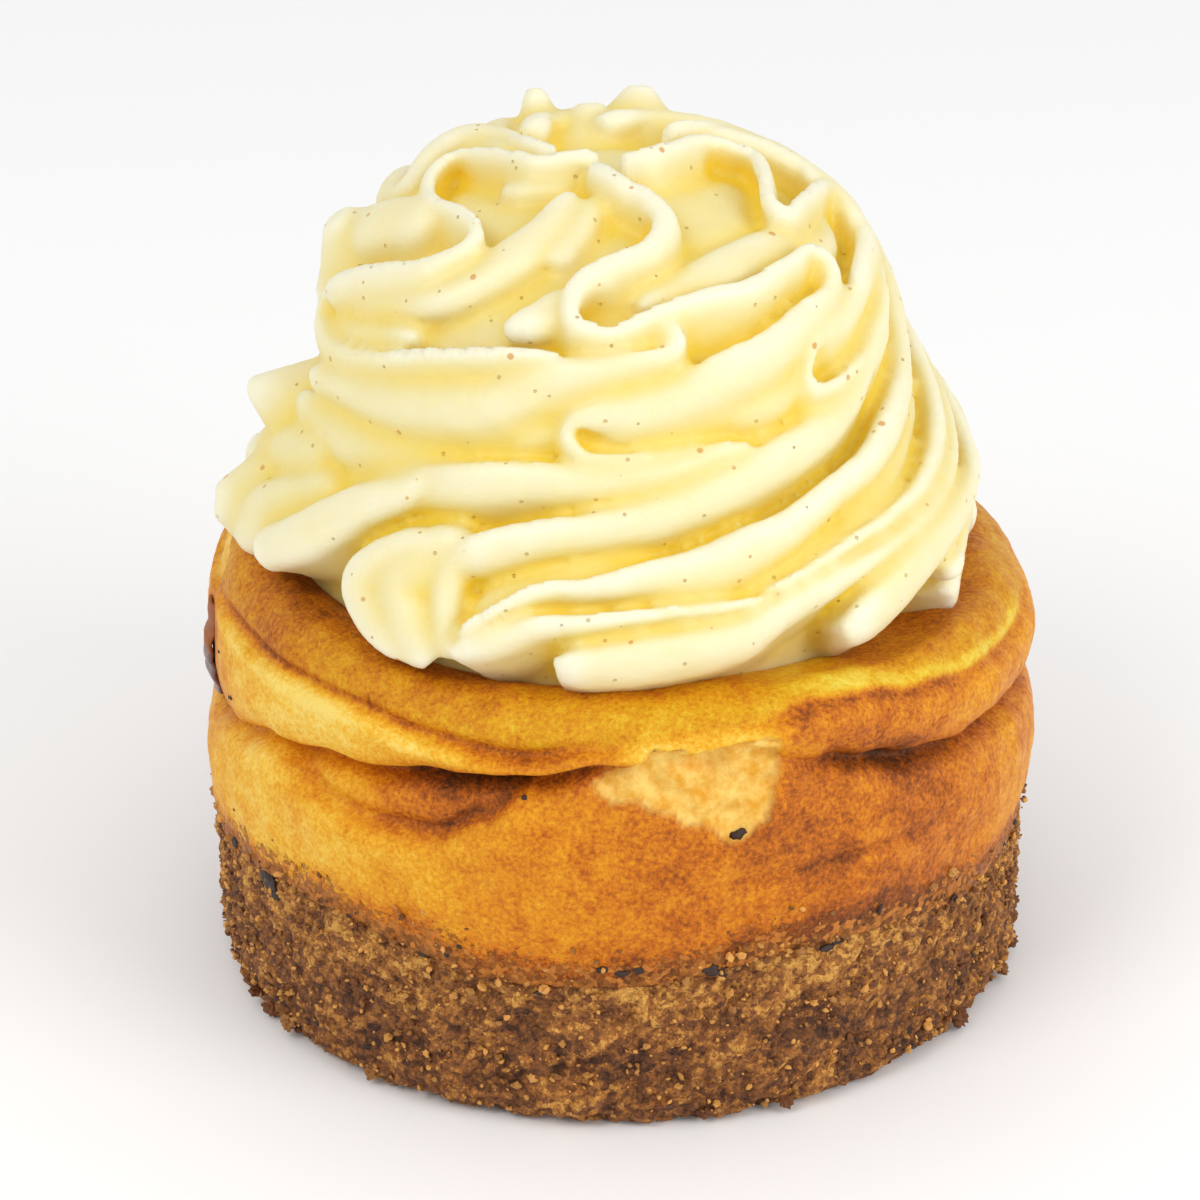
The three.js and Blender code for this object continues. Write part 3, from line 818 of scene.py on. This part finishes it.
# Each station is an azimuth, an elevation seen from the mound's centre and a half width. A fourth
# number, where there is one, is how far the crest lies inside the round mound.
RIDGES = {
    "serpentine_fold": [
        (-15, 84, 1), (9, 79, 1.1), (21, 75, 1.2), (23, 70, 1.3), (14, 65, 1.4), (0, 62, 1.3),
        (-7, 59, 1.2), (-8, 55, 1), (-5, 53, 0.9), (1, 52, 0.9), (10, 54, 1), (23, 56, 1),
        (37, 56, 1), (50, 57, 1), (60, 57, 0.9), (62, 54, 1.1), (57, 51, 1.4), (47, 50, 1.7),
        (35, 48, 1.8), (21, 46, 2), (9, 44, 2), (-1, 43, 1.6), (-6, 41, 1.2), (-7, 39, 1),
        (-3, 36, 0.9), (7, 36, 0.7), (27, 36, 0.6)],
    "left_serpentine": [
        (-10, 49, 0.6), (-24, 48, 0.7), (-38, 46, 0.8), (-50, 43.5, 0.9), (-61, 41.5, 1),
        (-71, 40.5, 1.1), (-79, 42, 1.1), (-79, 45, 1.3), (-71, 49, 1.4), (-60, 53, 1.6),
        (-50, 56, 1.6), (-45, 59, 1.4), (-42, 62, 1.1), (-45, 65, 0.9), (-57, 66, 0.9), (-67, 65, 0.9),
        (-80, 65, 0.9), (-92, 66, 0.9), (-101, 68, 0.9), (-102, 71, 0.9), (-92, 76, 0.9),
        (-68, 80, 0.9), (-50, 84, 0.8), (-30, 87, 0.8)],
    "left_roll": [
        (-24, 78, 1.4), (-24, 70, 2.3), (-32, 62, 2.7), (-43, 55, 2.3), (-59, 51, 2.1),
        (-70, 47, 1.7)],
    "upper_left_band": [
        (-75, 34, 1), (-61, 38, 1.8), (-47, 40, 2.4), (-34, 42, 2.6), (-23, 44, 2.5),
        (-12, 47, 1.9), (-2, 48, 1.3), (8, 49, 0.8), (14, 50, 0.8), (15, 52, 0.8), (10, 53, 0.6)],
    "middle_left_petal": [
        (-84, 26, 1.6), (-74, 29, 2.4), (-58, 31, 3.1), (-42, 33, 3.1), (-28, 36, 2.3),
        (-15, 39, 1.7), (-9, 41, 1.2)],
    "lower_left_petal": [
        (-76, 7, 1.4, 1.5), (-68, 13, 1.7, 3.4), (-58, 20, 2, 3.2), (-42, 27, 2.1, 1.2), (-26, 31, 2),
        (-12, 33, 1.8), (1, 33, 1.7), (14, 34, 1.1), (28, 36, 0.7)],
    "lower_left_lobe": [(-87, 2, 3), (-78, 6, 3.6, 0.3), (-67, 13, 3.6, 1.2), (-56, 21, 3, 1.5)],
    "front_roll": [
        (-24, 3, 1.6, 0.9), (-25, 8, 1.8, 0.9), (-26, 14, 1.9, 0.8), (-25, 18, 1.8, 0.4),
        (-20, 21, 1.9), (-11, 24, 1.8), (-1, 26, 1.8), (9, 28, 2), (21, 31, 2.1), (31, 33, 2.1), (42, 35, 2),
        (54, 38, 1.7), (65, 42, 1.4), (78, 46, 1.3)],
    "nose_side": [(-27, 2, 2.4), (-32, 7, 3.2), (-34, 12, 3.4), (-30, 17, 3), (-22, 21, 2)],
    "nose_left": [
        (-31, 2, 1.5), (-36, 6, 2.3), (-40, 10, 2.5), (-38, 14, 2.3), (-32, 18, 2.1), (-25, 20, 1.5)],
    "lobe_floor": [
        (-67, 6, 2.1), (-57, 12, 2.5), (-51, 17, 2.5), (-45, 22, 2.2), (-38, 26, 1.8), (-31, 30, 1.4)],
    "nose_floor": [(-21, 9, 1.8), (-13, 13, 2.4), (-3, 17, 2), (8, 20, 1.2, 0.6)],
    "inner_web": [
        (-22, 8, 0.8), (-17, 12, 0.9), (-10, 16, 1), (-2, 17, 1.2), (5, 18, 1.7), (15, 18, 2.7),
        (24, 20, 2.7), (32, 22, 2.1), (41, 25, 1.7), (54, 27, 1.8), (67, 31, 2), (82, 36, 2)],
    "split_edge": [
        (25, 14, 0.6), (31, 15, 0.9), (41, 17, 1), (53, 18, 1.2), (66, 19, 1.6), (82, 23, 1.8)],
    "front_lip": [
        (-23, 5, 1.2), (-17, 8, 1.5), (-10, 11, 1.3), (-2, 12, 1), (7, 13, 0.8), (17, 13, 0.8),
        (25, 13, 0.7)],
    "bottom_flap": [
        (-7, 5, 1.7), (2, 6, 2.4), (11, 7, 2.5), (20, 8, 2.2), (28, 11, 1.6), (38, 13, 1.3),
        (49, 14, 1.2), (63, 15, 1.6), (80, 18, 1.8)],
    "right_flap": [
        (38, 4, 1.9), (46, 7, 2.8), (57, 10, 2.8), (69, 11, 2.4), (88, 12, 2)],
    "torn_fold": [
        (108, 52, 1.4), (87, 51, 1.5), (72, 50, 1.4), (59, 48, 1.1), (48, 47, 0.9),
        (44, 44, 0.8), (44, 41, 0.8), (50, 40, 0.7), (59, 41, 0.6), (71, 42, 0.5)],
    "torn_fold_edge": [(50, 39, 0.5), (60, 40, 0.7), (69, 41, 0.8), (77, 43, 0.7)],
    "right_shoulder": [
        (20, 42.5, 1.0), (30, 42, 1.6), (38, 43, 1.7), (45, 45, 1.3), (54, 48, 1)],
    "upper_right_band": [(8, 57, 1.4), (25, 60, 2.4), (41, 61, 2.8), (57, 61, 2.6), (80, 59, 2)],
    "shoulder_floor": [(62, 57, 2), (78, 57, 2.6), (98, 59, 2.6)],
    "left_floor": [(-100, 6, 2.8), (-90, 13, 3.4), (-80, 18, 3.6), (-70, 22, 3.4), (-62, 26, 2.6)],
    "right_floor": [(28, 16, 2.6), (45, 21, 3.2), (62, 26, 3.4), (80, 33, 3.4), (98, 42, 3.2)],
    "side_floor": [
        (21, 14, 1.1), (33, 16, 1.4), (45, 18, 1.7), (59, 22, 1.9), (76, 27, 1.9), (90, 33, 1.9)],
    "bend_floor": [(-5, 38, 1.3), (1, 38, 1.6), (9, 39, 1.6), (19, 40, 1.4), (30, 41, 1.2)],
    "roll_floor": [(-79, 43, 1.3), (-70, 44, 1.6), (-60, 45.5, 1.5), (-45, 48, 1.4)],
    "right_cup_fold": [
        (40, 86, 0.8), (60, 84, 0.8), (91, 81, 0.9), (110, 76, 1), (108, 72, 1), (100, 69, 1),
        (84, 68, 0.9), (69, 66, 0.9), (67, 63, 0.9), (79, 62, 0.9), (97, 59, 0.9),
        (109, 54, 0.8)],
    "far_right_band": [(140, 76, 0.9), (134, 66, 1.2), (120, 60, 1.4), (101, 59, 1.2)],
    "upper_left_petal": [(-97, 50, 2.6), (-85, 56, 3), (-76, 61, 3), (-64, 64, 2.2)],
    "top_left_petal": [
        (-108, 58, 1.8, 1.4), (-117, 63, 2.2, -0.4), (-122, 68, 2.2, -0.8), (-118, 74, 1.5),
        (-104, 79, 1), (-84, 83, 0.8)],
    "crown_saddle": [(-70, 74, 2.1), (-55, 80, 2.3), (-30, 86, 1.6)],
    "loose_scrap": [(63, 4, 1.4), (68, 5, 1.2)],
    "web_lower_bend": [(-21, 37, 1.5), (-9, 41, 2.1)],
    "web_upper_bend": [(-23, 52, 1.4), (-14, 55, 2.1), (-8, 59, 1.9)],
    "web_left_roll": [(-19, 64, 2.5), (-14, 72, 2.3), (-4, 79, 1.5)],
}
# How far these ridges lie under the mound's skin. Most of them only fill the ground between the
# others, and they stand upright; two lean uphill, as the ridges that are not sunk do.
SUNK = {
    "right_shoulder": 1.1, "middle_left_petal": 1.5, "lower_left_lobe": 0.5, "left_roll": 0.9,
    "crown_saddle": 1.5, "upper_right_band": 1.4, "shoulder_floor": 1.8, "right_floor": 3.0,
    "left_floor": 1.8, "web_lower_bend": 1.0, "web_upper_bend": 0.9, "web_left_roll": 1.4,
    "nose_side": 0.3, "nose_left": 0.2, "lobe_floor": 0.3, "side_floor": 1.3, "nose_floor": 1.6,
    "bend_floor": 1.3, "roll_floor": 1.0, "loose_scrap": 0.0,
}
LEANS_THOUGH_SUNK = ["right_shoulder", "middle_left_petal"]
RISES_FROM_FOOT = ["upper_left_petal", "top_left_petal"]
RUNS_TO_CROWN = ["front_roll", "inner_web", "split_edge", "bottom_flap", "right_flap"]
BACK_FEET = [72, 118, 162, 184, 222, 245]
HIDDEN_BY_FRONT = 266  # the azimuth at which a back ridge has to be under the front ones
BACK_DIVE = 2.6  # and how deep it lies there


def mound_reach(elevation):
    """Distance from the mound's centre to its skin at this elevation."""
    if elevation <= MOUND[0][0]:
        return MOUND[0][1]
    for (a, low), (b, high) in zip(MOUND, MOUND[1:]):
        if elevation <= b:
            return lerp(low, high, (elevation - a) / (b - a))
    return MOUND[-1][1]


def on_mound(azimuth, elevation, sunk=0.0):
    """The point of the mound's skin in this direction, or this far under it."""
    level = math.cos(math.radians(elevation))
    way = turned(azimuth, level, math.sin(math.radians(elevation)))
    return MOUND_CENTRE + way * (mound_reach(elevation) - sunk)


# %% Carry the routes on to the foot and the crown
STATION_GAP = 8  # degrees of elevation


def whole_route(name):
    """A named ridge's stations, carried on at the common climb where it does not end."""
    route = list(RIDGES[name])
    if name in RISES_FROM_FOOT:
        azimuth, elevation = route[0][:2]
        for drop in range(STATION_GAP, int(elevation) + STATION_GAP, STATION_GAP):
            route.insert(0, (azimuth - CLIMB * drop, max(elevation - drop, -1), 2.7))
    if name in RUNS_TO_CROWN:
        azimuth, elevation, width = route[-1][:3]
        climb = CROWN_ELEVATION - elevation
        for rise in range(STATION_GAP, int(climb) + 1, STATION_GAP):
            fuller = width + 0.9 * math.sin(math.pi * rise / climb)
            route.append((azimuth + CLIMB * rise, elevation + rise, max(1.3, fuller)))
    return route


def back_route(foot):
    """A plain ridge that starts at this azimuth and dives under the front ones or the crown."""
    highest = min(CROWN_ELEVATION, (HIDDEN_BY_FRONT - foot) / CLIMB)
    dive = BACK_DIVE if highest < CROWN_ELEVATION else 0.0
    stations = []
    for step in range(7):
        elevation = lerp(-2, highest, step / 6)
        azimuth = foot + CLIMB * elevation + chance.uniform(-2, 2)
        width = lerp(2.9, 1.6, elevation / CROWN_ELEVATION) * chance.uniform(0.85, 1.15)
        stations.append((azimuth, elevation, width, dive * ramp(3, 5, step)))
    return stations


routes = [(name, whole_route(name)) for name in RIDGES]
routes += [("back ridge", back_route(foot)) for foot in BACK_FEET]
print(len(routes), "ridges,", sum(len(route) for _, route in routes), "stations")

# %% [markdown]
# The fin's outline has a round crest and flanks that spread downwards. It is drawn once, one unit
# wide to each side, and a matrix for each step along the route sets its width, leans it, stands it
# on the mound and carries it there. A fin leans uphill: its face falls away below the crest, and
# behind the crest it drops steeply, so that the fins lap like the leaves of an artichoke.
# Extruding the end face from step to step grows the fin like the nozzle does.

# %% The fin and its sweep
CREST_DEPTH = 1.7
FLANK = [(1.12, -2.7), (1.3, -3.9), (1.6, -5.2), (2.0, -6.8)]
LEAN = 0.55
ROUTE_SPACING = 0.9
END_FULLNESS = [0.62, 0.86, 0.97]  # of the last steps of a route, from its end inwards


def fin_outline():
    """Half of the crest as a quarter round, then the flank, then mirrored."""
    half = []
    for step in range(7):
        angle = math.radians(15 * step)
        x, y = math.sin(angle) ** 0.9, math.cos(angle) if step < 6 else 0.0
        half.append((x, -CREST_DEPTH * (1 - y)))
    half += FLANK
    return half + [(-x, y) for x, y in reversed(half) if x > 0]


def route_frames(route, sunk, lean):
    """A matrix for each step along a route: sideways, outwards, along, and the place."""
    crest = [
        tuple(on_mound(a, e, sunk + sum(deeper))) + (width,) for a, e, width, *deeper in route
    ]
    points = finely(crest, ROUTE_SPACING, fewest=2)
    frames = []
    for i, point in enumerate(points):
        along = points[min(i + 1, len(points) - 1)].to_3d() - points[max(i - 1, 0)].to_3d()
        along.normalize()
        place = point.to_3d()
        out = place - MOUND_CENTRE
        out = (out - along * out.dot(along)).normalized()
        side = out.cross(along)
        left = min(i, len(points) - 1 - i)
        full = END_FULLNESS[left] if left < len(END_FULLNESS) else 1.0
        width = max(point.w, 0.8) * full
        place = place - out * 1.6 * (1 - full)
        uphill = (Vector((0, 0, 1)) - out * out.z).normalized()
        tall = out * (0.62 + 0.24 * width) + side * side.dot(uphill) * lean
        frames.append(Matrix((
            (side.x * width, tall.x, along.x, place.x),
            (side.y * width, tall.y, along.y, place.y),
            (side.z * width, tall.z, along.z, place.z),
            (0, 0, 0, 1),
        )))
    return frames


def swept_fin(route, sunk, lean):
    """Extrudes the fin's outline along a route."""
    shape = bmesh.new()
    end = shape.faces.new([shape.verts.new((x, y, 0)) for x, y in fin_outline()])
    frames = route_frames(route, sunk, lean)
    bmesh.ops.transform(shape, matrix=frames[0], verts=shape.verts)
    for before, after in zip(frames, frames[1:]):
        grown = bmesh.ops.extrude_face_region(shape, geom=[end])["geom"]
        end = next(g for g in grown if isinstance(g, bmesh.types.BMFace))
        moved = [g for g in grown if isinstance(g, bmesh.types.BMVert)]
        bmesh.ops.transform(shape, matrix=after @ before.inverted(), verts=moved)
    bmesh.ops.recalc_face_normals(shape, faces=shape.faces)
    return shape


# %% Join the fins with the core of the mound
core_profile = [(0, 38.5)]
for elevation in range(-6, 91, 3):
    reach = mound_reach(elevation) - lerp(5.2, 3.1, ramp(20, 50, elevation))
    way = turned(180, math.cos(math.radians(elevation)), math.sin(math.radians(elevation))) * reach
    core_profile.append((max(way.y, 0), MOUND_CENTRE.z + way.z))
cream_shape = spun(core_profile, 72)
bmesh.ops.translate(cream_shape, vec=(MOUND_CENTRE.x, 0, 0), verts=cream_shape.verts)
for vertex in cream_shape.verts:  # the foot draws in under the lobe on the front left
    inward = 3.6 * swell(azimuth_of(vertex.co) + 58, 15) * ramp(54, 46, vertex.co.z)
    vertex.co *= 1 - inward / max(vertex.co.length, 10) * ramp(20, 30, radius_of(vertex.co))
for name, route in routes:
    lean = LEAN if name not in SUNK or name in LEANS_THOUGH_SUNK else 0.0
    add_handful(cream_shape, swept_fin(route, SUNK.get(name, 0.0), lean))
print("core and fins:", len(cream_shape.verts), "vertices")

# %% [markdown]
# Where the nozzle let go it pulled the cream into points. Cones do for them, since the remesh
# rounds whatever it fuses: four round the back of the crown, and three at the corners of the
# petals on the left, which stand out from the mound.

# %% Pulled points
# azimuth, elevation, how far the tip stands out, radius at the root and the tip, lean to the top
PULLED_POINTS = [
    (-158, 64, 1.2, 3.0, 0.7, 0.6), (-174, 70, 0.2, 4.2, 1.2, 0.5), (169, 65, 1.2, 5.4, 1.0, 0.6),
    (152, 65, -0.6, 4.2, 1.3, 0.5), (-89, 23, 1.6, 4.4, 0.6, 0.2),
    (-91, 51, 0.9, 5.0, 1.3, 0.1), (-84, 6, 0.7, 5.0, 1.4, 0.0),
]
for azimuth, elevation, stand, root, blunt, lean in PULLED_POINTS:
    start = on_mound(azimuth, elevation, 4.0)
    tip = on_mound(azimuth, elevation, -stand) + Vector((0, 0, stand * lean))
    way = tip - start
    turn = way.to_track_quat("Z", "Y").to_matrix().to_4x4()
    bmesh.ops.create_cone(
        cream_shape, cap_ends=True, segments=16, radius1=root * 1.3, radius2=blunt, depth=way.length,
        matrix=Matrix.Translation((start + tip) / 2) @ turn,
    )
print("cream before the remesh:", len(cream_shape.verts), "vertices")

# %% [markdown]
# The remesh leaves small steps, which a little smoothing melts. A copy smoothed much further shows
# where the skin lies inside its own broad form, and that depth does three jobs: crevices are
# softened, then all grooves are pressed in deeper, and the number is kept for the colour.

# %% Fuse and melt
VOXEL = 0.48
MELT_ROUNDS = 4
CREVICE_DEPTH = 0.12
DEEPENING = 0.5


def fused(shape, voxel, melt):
    """Voxel remesh and smoothing through modifiers, returned as a new bmesh."""
    mesh = bpy.data.meshes.new("rough cream")
    shape.to_mesh(mesh)
    shape.free()
    rough = bpy.data.objects.new("rough cream", mesh)
    bpy.context.scene.collection.objects.link(rough)
    remesh = rough.modifiers.new("fuse", "REMESH")
    remesh.mode, remesh.voxel_size = "VOXEL", voxel
    smooth = rough.modifiers.new("melt", "SMOOTH")
    smooth.factor, smooth.iterations = 0.5, melt
    view = bpy.context.evaluated_depsgraph_get()
    done = bmesh.new()
    done.from_object(rough, view)
    bpy.data.objects.remove(rough)
    bpy.data.meshes.remove(mesh)
    return done


def hollowness(shape, rounds):
    """How far the surface lies inside its own smoothed form, positive in grooves."""
    calm = shape.copy()
    smoothed(calm, calm.verts, 0.6, rounds)
    amounts = [
        (smooth.co - vertex.co).dot(vertex.normal) for smooth, vertex in zip(calm.verts, shape.verts)
    ]
    calm.free()
    return amounts


cream_shape = fused(cream_shape, VOXEL, MELT_ROUNDS)
cream_shape.normal_update()
depths = hollowness(cream_shape, 8)
crevices = [vertex for vertex, depth in zip(cream_shape.verts, depths) if depth > CREVICE_DEPTH]
smoothed(cream_shape, crevices, 0.6, 3)
cream_shape.normal_update()
groove_amount = hollowness(cream_shape, 40)
print("groove depths", round(min(groove_amount), 2), round(max(groove_amount), 2))
for vertex, depth in zip(cream_shape.verts, groove_amount):
    vertex.co -= vertex.normal * DEEPENING * depth
    ripple = 0.10 * lumps(vertex.co, 2.4, 51) + 0.045 * lumps(vertex.co, 0.8, 53)
    vertex.co += vertex.normal * ripple

# %% [markdown]
# Butter gives the cream its ivory, which deepens to yellow in the grooves; that yellow is painted
# in, for light that bounces between two yellow walls comes out yellower. The crests are painted
# paler, a painted highlight. Light also sinks in a little before it comes back, so the shader has
# some subsurface scattering. Air left pinholes, painted yellower inside as painted shade, and ground
# vanilla and crumbs of caramel left specks.

# %% The cream's finish
butter = Finish("piped cream")
groove = butter.value_of("groove")
soft_mottle = butter.spots(3.0, 3)
satin = butter.spots(0.5, 3, 0.6)
# Groove depth sets the colour: painted bounce light in the grooves, a painted highlight on the crests.
cream_colour = butter.scale(0.5 + 0.95 * groove + 0.16 * (soft_mottle - 0.5), [
    (0.0, shade(240, 235, 206)), (0.4, shade(234, 220, 156)), (1.0, shade(240, 209, 62)),
])
speck_pick, speck_near = butter.cells(3.4)
speck = butter.between(speck_near + 0.16 * speck_pick, 0.135, 0.085)
cream_colour = butter.blend(speck * 0.75, cream_colour, shade(206, 140, 40))
# Pinholes are painted yellower, as painted shade in the pits.
_, pinhole_near = butter.cells(2.3)
pinholes = butter.between(pinhole_near, 0.085, 0.05)
cream_colour = butter.blend(pinholes * 0.6, cream_colour, shade(222, 168, 44))
cream_bump = butter.relief(satin, 0.05, butter.relief(1 - pinholes, 0.25))
piped = butter.set(
    Base_Color=cream_colour, Roughness=butter.between(satin, 0.3, 0.7, 0.40, 0.52),
    Normal=cream_bump, Subsurface_Weight=0.25, Subsurface_Radius=(0.005, 0.0035, 0.0012),
    Subsurface_Scale=0.6,
)
cream = solid_piece(
    "cream_swirl", cream_shape, piped, "piped_cream", {"groove": groove_amount}
)

# %% [markdown]
# ## Charred specks
# Little black-brown lumps sit in the crust, most of them along the seam. Those on the front have
# their own places; the rest are strewn by chance along the seam, mostly round the back. A ray cast
# from outside finds the skin at each place, so that every lump is seated in it.

# %% Char
STREWN_SPOTS = 46
# azimuth, height, half width, half height
CHAR_SPOTS = [
    (-58, 16.4, 1.3, 0.9), (-56, 15.4, 0.7, 0.6), (-69, 16.6, 0.8, 0.5), (-64, 16.4, 0.6, 0.4),
    (-2.5, 17.8, 0.55, 0.4), (0, 17.5, 0.7, 0.4), (2.4, 17.8, 0.45, 0.35), (12, 17.4, 0.8, 0.6),
    (13.5, 17.0, 0.5, 0.5), (29, 17.0, 0.7, 0.35), (31, 17.3, 1.0, 0.45), (37, 19.6, 0.35, 0.5),
    (15.4, 31.2, 0.85, 0.7), (-72, 36.2, 0.25, 0.2), (-67, 33, 0.3, 0.2), (-69, 32.4, 0.22, 0.2),
    (-13, 34.8, 0.3, 0.3), (-40, 18.0, 0.3, 0.25), (-24, 17.4, 0.35, 0.3), (-22, 18.6, 0.25, 0.2),
]
for _ in range(STREWN_SPOTS):
    azimuth = chance.uniform(-180, 180)
    if abs(azimuth) > 75 or chance.random() < 0.25:
        size = chance.uniform(0.15, 0.6)
        height = seam_height(azimuth) + chance.gauss(0.6, 1.2)
        CHAR_SPOTS.append((azimuth, height, size, 0.7 * size))


view = bpy.context.evaluated_depsgraph_get()
skins = [BVHTree.FromObject(piece, view) for piece in (filling, baked_crumb_base)]


def side_point(azimuth, height):
    """Where a level line from outside first meets the side of the cake."""
    start, inwards = turned(azimuth, 60, height) * MM, turned(azimuth, -1, 0)
    met = [skin.ray_cast(start, inwards)[0] for skin in skins]
    return max((point for point in met if point), key=lambda point: point.length) / MM


char_shape = bmesh.new()
for azimuth, height, half_width, half_height in CHAR_SPOTS:
    middle = side_point(azimuth, height)
    turn = Matrix.Rotation(math.radians(azimuth), 4, "Z")
    size = Matrix.Diagonal((half_width, min(0.3, 0.7 * half_height), half_height, 1))
    made = bmesh.ops.create_icosphere(
        char_shape, subdivisions=3, radius=1, matrix=Matrix.Translation(middle) @ turn @ size
    )
    for vertex in made["verts"]:
        push = 1 + 0.55 * lumps(vertex.co, 0.55, 61) + 0.3 * lumps(vertex.co, 0.25, 63)
        vertex.co = middle + (vertex.co - middle) * push

burn = Finish("char")
ash = burn.spots(0.2, 3)
charred = burn.set(
    Base_Color=burn.blend(ash, shade(24, 13, 8), shade(62, 34, 20)), Roughness=0.55,
    Normal=burn.relief(ash, 0.08),
)
char = solid_piece("charred_specks", char_shape, charred)

# %% [markdown]
# ## Floor and light
# A pale floor and a white surround keep the picture plain. One broad light stands high, above the
# left shoulder of the camera, and models the folds. Its twin stands lower on the right and opens
# the shadows.

# %% Floor, surround and lights
LIGHT_TARGET = Vector((0, 0, 0.045))
LIGHT_POWER = 1.6
SURROUND_STRENGTH = 0.78

floor_shape = bmesh.new()
bmesh.ops.create_grid(floor_shape, x_segments=1, y_segments=1, size=3.0)
floor_mesh = bpy.data.meshes.new("floor")
floor_shape.to_mesh(floor_mesh)
floor_shape.free()
table = Finish("pale table")
floor_mesh.materials.append(table.set(Base_Color=(0.97, 0.97, 0.97, 1), Roughness=0.8))
floor = bpy.data.objects.new("floor", floor_mesh)
bpy.context.scene.collection.objects.link(floor)

surround = bpy.data.worlds.new("surround")
surround.use_nodes = True
backdrop = surround.node_tree.nodes["Background"]
backdrop.inputs["Color"].default_value = (1, 1, 1, 1)
backdrop.inputs["Strength"].default_value = SURROUND_STRENGTH
bpy.context.scene.world = surround
bpy.context.scene.view_settings.view_transform = "Standard"


def soft_light(name, place, size):
    light = bpy.data.lights.new(name, "AREA")
    light.shape, light.size, light.energy = "DISK", size, LIGHT_POWER
    lamp = bpy.data.objects.new(name, light)
    bpy.context.scene.collection.objects.link(lamp)
    aim(lamp, Vector(place), LIGHT_TARGET)
    print(name, "stands", round(lamp.location.length, 2), "m away")


soft_light("key light", (-0.38, -0.42, 0.62), 0.4)
soft_light("fill light", (0.5, -0.34, 0.35), 0.45)
